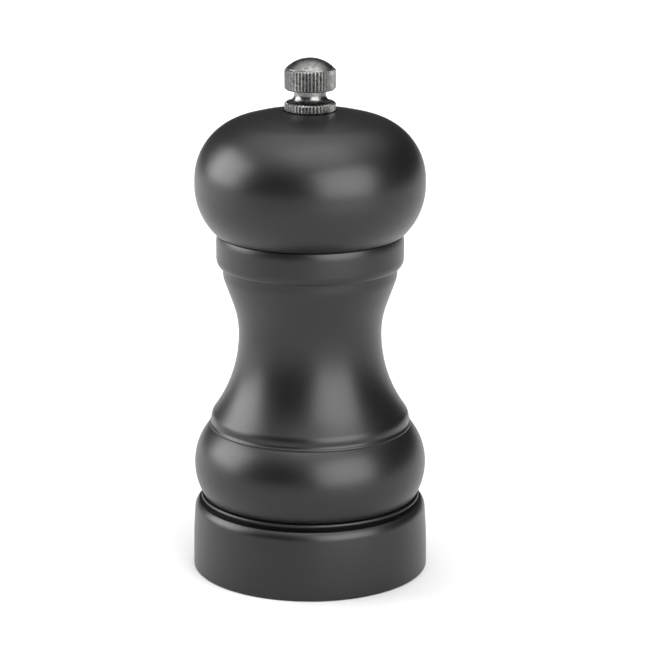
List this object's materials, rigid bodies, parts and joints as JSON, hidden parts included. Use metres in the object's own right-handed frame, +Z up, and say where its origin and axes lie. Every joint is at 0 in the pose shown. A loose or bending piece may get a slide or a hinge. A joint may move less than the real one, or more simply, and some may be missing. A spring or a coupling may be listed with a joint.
{
  "type": "pepper mill",
  "caption": "Turned wooden pepper mill with a bun-shaped head, waisted body, knurled top nut and a conical steel grinder in the foot.",
  "frame": {"origin": "centre of the foot, on the surface that the mill stands on", "axes": "+Z up along the common axis of the body, head and shaft; +Y from front to back; the two retaining screws lie on Y"},
  "size_m": [0.058, 0.058, 0.1274],
  "materials": {
    "black_lacquered_beech": "satin black lacquer outside, bare beech inside the bores",
    "black_fibre": "matt black fibre",
    "dark_nickel": "dark bright nickel plate over turned and knurled steel",
    "drawn_steel": "cold drawn, fine lengthwise marks",
    "zinc_plated_steel": "bright zinc plate",
    "burr_steel": "hardened dark steel with cut teeth",
    "spring_steel": "coiled spring wire"
  },
  "bodies": {
    "mill_body": {"body": "black_lacquered_beech", "stator": "burr_steel", "retaining_plate": "zinc_plated_steel", "retaining_screws": "zinc_plated_steel", "bridge": "zinc_plated_steel"},
    "turning_seat": {"spring_seat_washer": "zinc_plated_steel", "grind_spring": "spring_steel"},
    "shaft": {"drive_shaft": "drawn_steel", "rotor": "burr_steel", "rotor_washer": "zinc_plated_steel", "rotor_screw": "zinc_plated_steel"},
    "head": {"head": "black_lacquered_beech", "head_drive_plate": "zinc_plated_steel", "drive_plate_screws": "zinc_plated_steel"},
    "nut": {"finial_nut": "dark_nickel", "nut_washer": "black_fibre"}
  },
  "joints": [
    {"name": "mill_turn", "type": "hinge", "parent": "mill_body", "child": "turning_seat", "pos_m": [0, 0, 0.0264], "axis": [0, 0, 1], "continuous": true},
    {"name": "grind_adjust", "type": "slide", "parent": "turning_seat", "child": "shaft", "axis": [0, 0, 1], "range_m": [-0.0016, 0.0002], "deforming": ["grind_spring"]},
    {"name": "head_lift", "type": "slide", "parent": "turning_seat", "child": "head", "axis": [0, 0, 1], "range_m": [0, 0.052]},
    {"name": "nut_turn", "type": "hinge", "parent": "head", "child": "nut", "pos_m": [0, 0, 0.1146], "axis": [0, 0, 1], "range_deg": [-90.5, 720.5]}
  ],
  "couplings": [
    {"joint": "nut_turn", "follows": "grind_adjust", "rad_per_m": -7854}
  ]
}
